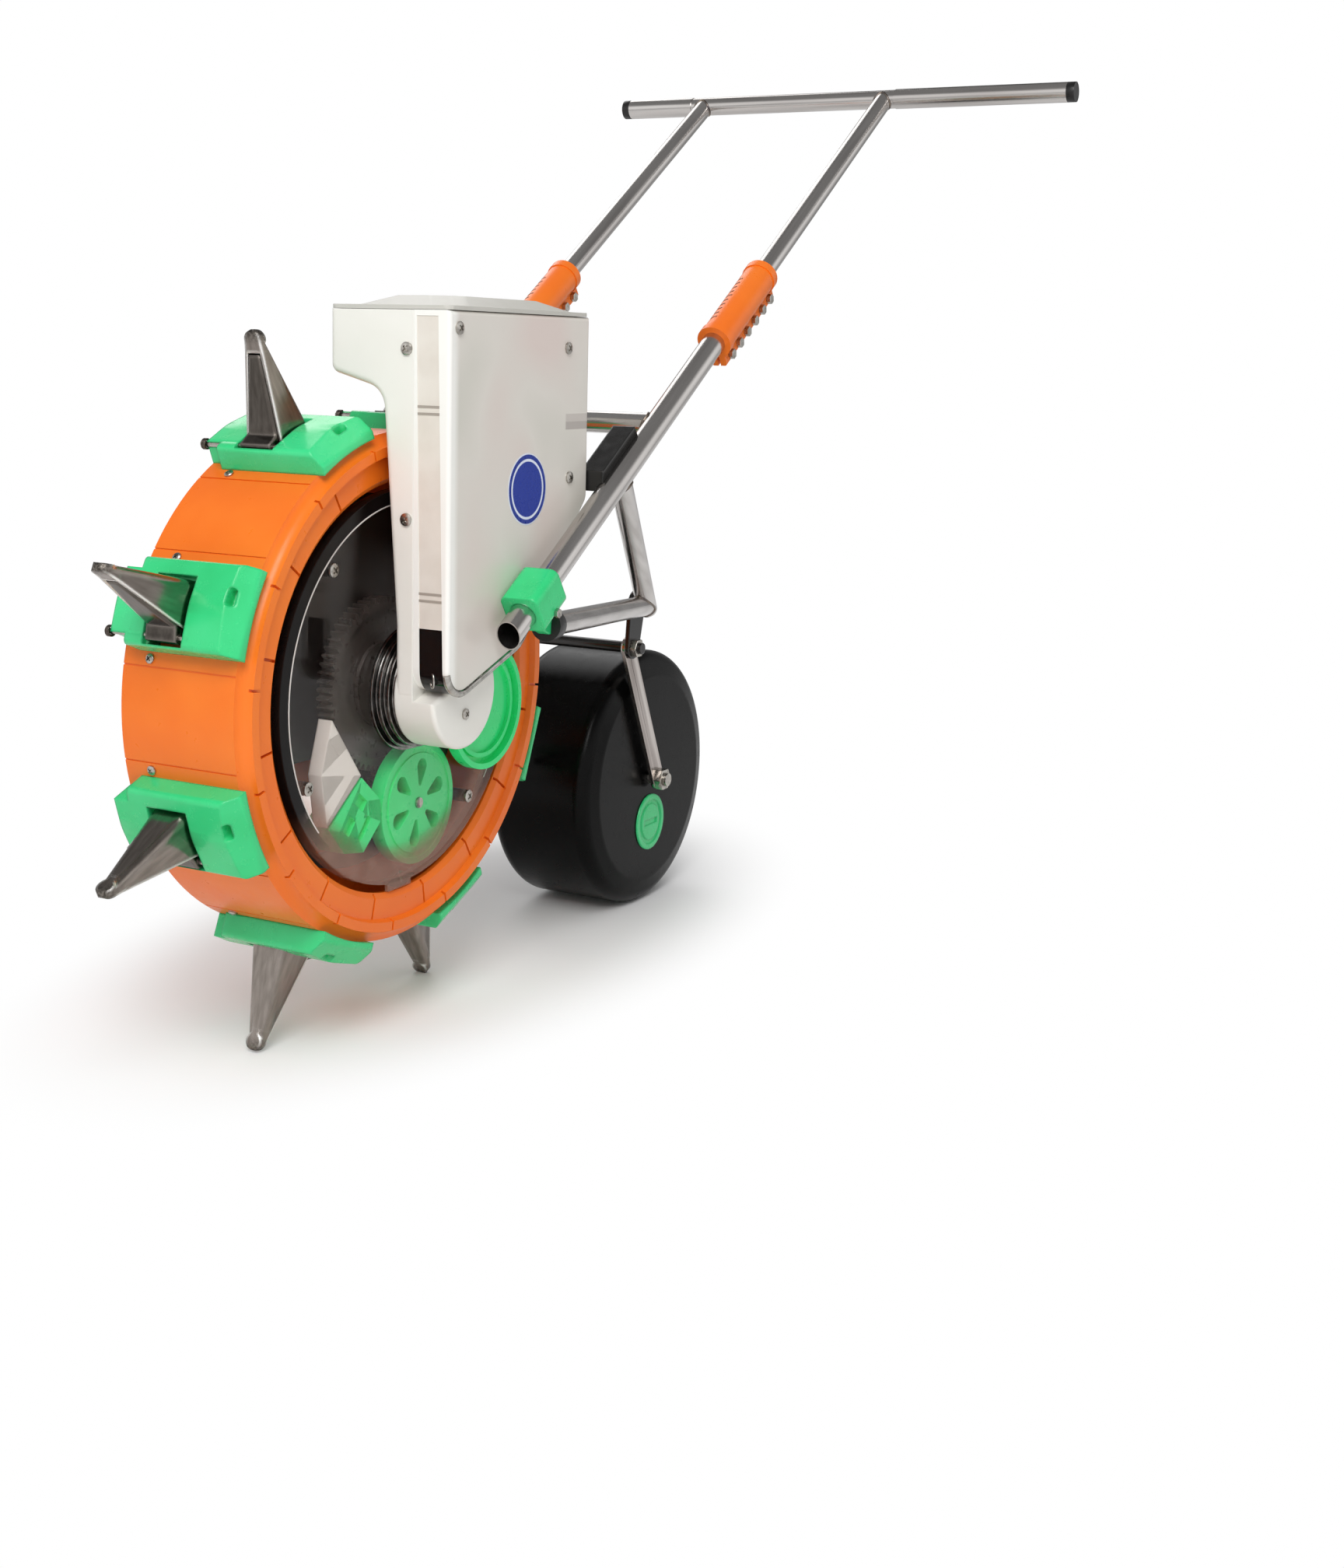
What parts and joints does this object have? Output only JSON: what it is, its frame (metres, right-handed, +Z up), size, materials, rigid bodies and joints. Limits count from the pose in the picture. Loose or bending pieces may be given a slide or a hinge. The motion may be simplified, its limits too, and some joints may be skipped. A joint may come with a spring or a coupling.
{
  "type": "walk-behind seed planter",
  "caption": "Hand-pushed seed planter: a drum with spring-closed planting bills, geared seed roller, side hopper with hinged lid, telescopic T handle and rear press roller.",
  "frame": {"origin": "on the ground straight below the axle, in the middle plane of the drum", "axes": "+X rearward to the handle, +Y to the side away from the hopper, +Z up"},
  "size_m": [0.9906, 0.499, 0.7806],
  "materials": {
    "orange_plastic": "moulded satin",
    "green_plastic": "moulded satin",
    "white_plastic": "moulded gloss",
    "frosted_plastic": "frosted",
    "smoked_plastic": "smoked gloss",
    "clear_plastic": "clear moulded plastic",
    "black_plastic": "matt",
    "black_roller": "matt",
    "tube_steel": "stainless tube",
    "bill_steel": "dark brushed",
    "zinc_steel": "zinc plated",
    "dark_steel": "black coated",
    "gear_plastic": "moulded dark"
  },
  "bodies": {
    "frame": {"axle": "zinc_steel", "hex_nuts": "zinc_steel", "hopper_body": "white_plastic", "hopper_panel": "white_plastic", "sight_strip": "frosted_plastic", "smoked_window": "smoked_plastic", "pan_screws": "zinc_steel", "hub_collar": "zinc_steel", "seed_cover": "clear_plastic", "seed_back": "black_plastic", "feed_inlet": "green_plastic", "brush_block": "green_plastic", "seed_guard": "white_plastic", "roller_shaft": "zinc_steel", "lower_tube_near": "tube_steel", "lower_tube_far": "tube_steel", "end_plugs": "black_plastic", "tube_clamp_near": "green_plastic", "tube_clamp_far": "green_plastic", "sleeve_near": "orange_plastic", "sleeve_far": "orange_plastic", "frame_bolts": "zinc_steel", "cross_tube": "tube_steel", "hopper_bracket": "dark_steel", "braces": "tube_steel", "stays": "tube_steel", "rear_lugs": "dark_steel", "fork_arm_near": "tube_steel", "fork_arm_far": "tube_steel", "cross_rod": "dark_steel", "press_axle": "zinc_steel", "far_bracket": "dark_steel", "lid_pin": "zinc_steel"},
    "drum": {"drum_rim": "orange_plastic", "drum_disc": "orange_plastic", "disc_screws": "zinc_steel", "hub_sleeve": "gear_plastic", "drive_gear": "gear_plastic", "bill_seats": "green_plastic", "bill_spouts": "bill_steel", "jaw_pins": "zinc_steel", "jaw_springs": "zinc_steel"},
    "seed_roller": {"seed_roller": "green_plastic", "roller_gear": "gear_plastic"},
    "press_wheel": {"press_roller": "black_roller", "filler_plug": "green_plastic"},
    "upper_handle": {"upper_tube_near": "tube_steel", "upper_tube_far": "tube_steel", "handle_bar": "tube_steel", "bar_caps": "black_plastic"},
    "lid": {"hopper_lid": "white_plastic"},
    "jaw_1": {"bill_jaw_1": "bill_steel"},
    "jaw_2": {"bill_jaw_2": "bill_steel"},
    "jaw_3": {"bill_jaw_3": "bill_steel"},
    "jaw_4": {"bill_jaw_4": "bill_steel"},
    "jaw_5": {"bill_jaw_5": "bill_steel"},
    "jaw_6": {"bill_jaw_6": "bill_steel"},
    "jaw_7": {"bill_jaw_7": "bill_steel"},
    "jaw_8": {"bill_jaw_8": "bill_steel"}
  },
  "joints": [
    {"name": "wheel_spin", "type": "hinge", "parent": "frame", "child": "drum", "pos_m": [0, 0, 0.25891], "axis": [0, 1, 0], "continuous": true},
    {"name": "roller_spin", "type": "hinge", "parent": "frame", "child": "seed_roller", "pos_m": [0.02257, 0, 0.16561], "axis": [0, 1, 0], "continuous": true},
    {"name": "press_spin", "type": "hinge", "parent": "frame", "child": "press_wheel", "pos_m": [0.384, 0, 0.118], "axis": [0, 1, 0], "continuous": true},
    {"name": "handle_slide", "type": "slide", "parent": "frame", "child": "upper_handle", "axis": [0.8344, 0, 0.5511], "range_m": [-0.12, 0.05]},
    {"name": "lid_hinge", "type": "hinge", "parent": "frame", "child": "lid", "pos_m": [0.158, 0, 0.5335], "axis": [0, 1, 0], "range_deg": [0, 100]},
    {"name": "jaw_1_open", "type": "hinge", "parent": "drum", "child": "jaw_1", "pos_m": [0.09893, 0.008, 0.08017], "axis": [0, 1, 0], "range_deg": [-20, 0], "stiffness_Nm_per_rad": 0.6, "springref_deg": 8.59},
    {"name": "jaw_2_open", "type": "hinge", "parent": "drum", "child": "jaw_2", "pos_m": [0.19635, 0.008, 0.20248], "axis": [0, 1, 0], "range_deg": [-20, 0], "stiffness_Nm_per_rad": 0.6, "springref_deg": 8.59},
    {"name": "jaw_3_open", "type": "hinge", "parent": "drum", "child": "jaw_3", "pos_m": [0.17875, 0.008, 0.35785], "axis": [0, 1, 0], "range_deg": [-20, 0], "stiffness_Nm_per_rad": 0.6, "springref_deg": 8.59},
    {"name": "jaw_4_open", "type": "hinge", "parent": "drum", "child": "jaw_4", "pos_m": [0.05644, 0.008, 0.45526], "axis": [0, 1, 0], "range_deg": [-20, 0], "stiffness_Nm_per_rad": 0.6, "springref_deg": 8.59},
    {"name": "jaw_5_open", "type": "hinge", "parent": "drum", "child": "jaw_5", "pos_m": [-0.09893, 0.008, 0.43766], "axis": [0, 1, 0], "range_deg": [-20, 0], "stiffness_Nm_per_rad": 0.6, "springref_deg": 8.59},
    {"name": "jaw_6_open", "type": "hinge", "parent": "drum", "child": "jaw_6", "pos_m": [-0.19635, 0.008, 0.31535], "axis": [0, 1, 0], "range_deg": [-20, 0], "stiffness_Nm_per_rad": 0.6, "springref_deg": 8.59},
    {"name": "jaw_7_open", "type": "hinge", "parent": "drum", "child": "jaw_7", "pos_m": [-0.17875, 0.008, 0.15998], "axis": [0, 1, 0], "range_deg": [-20, 0], "stiffness_Nm_per_rad": 0.6, "springref_deg": 8.59},
    {"name": "jaw_8_open", "type": "hinge", "parent": "drum", "child": "jaw_8", "pos_m": [-0.05644, 0.008, 0.06257], "axis": [0, 1, 0], "range_deg": [-20, 0], "stiffness_Nm_per_rad": 0.6, "springref_deg": 8.59}
  ],
  "couplings": [
    {"joint": "roller_spin", "follows": "wheel_spin", "ratio": -2}
  ]
}
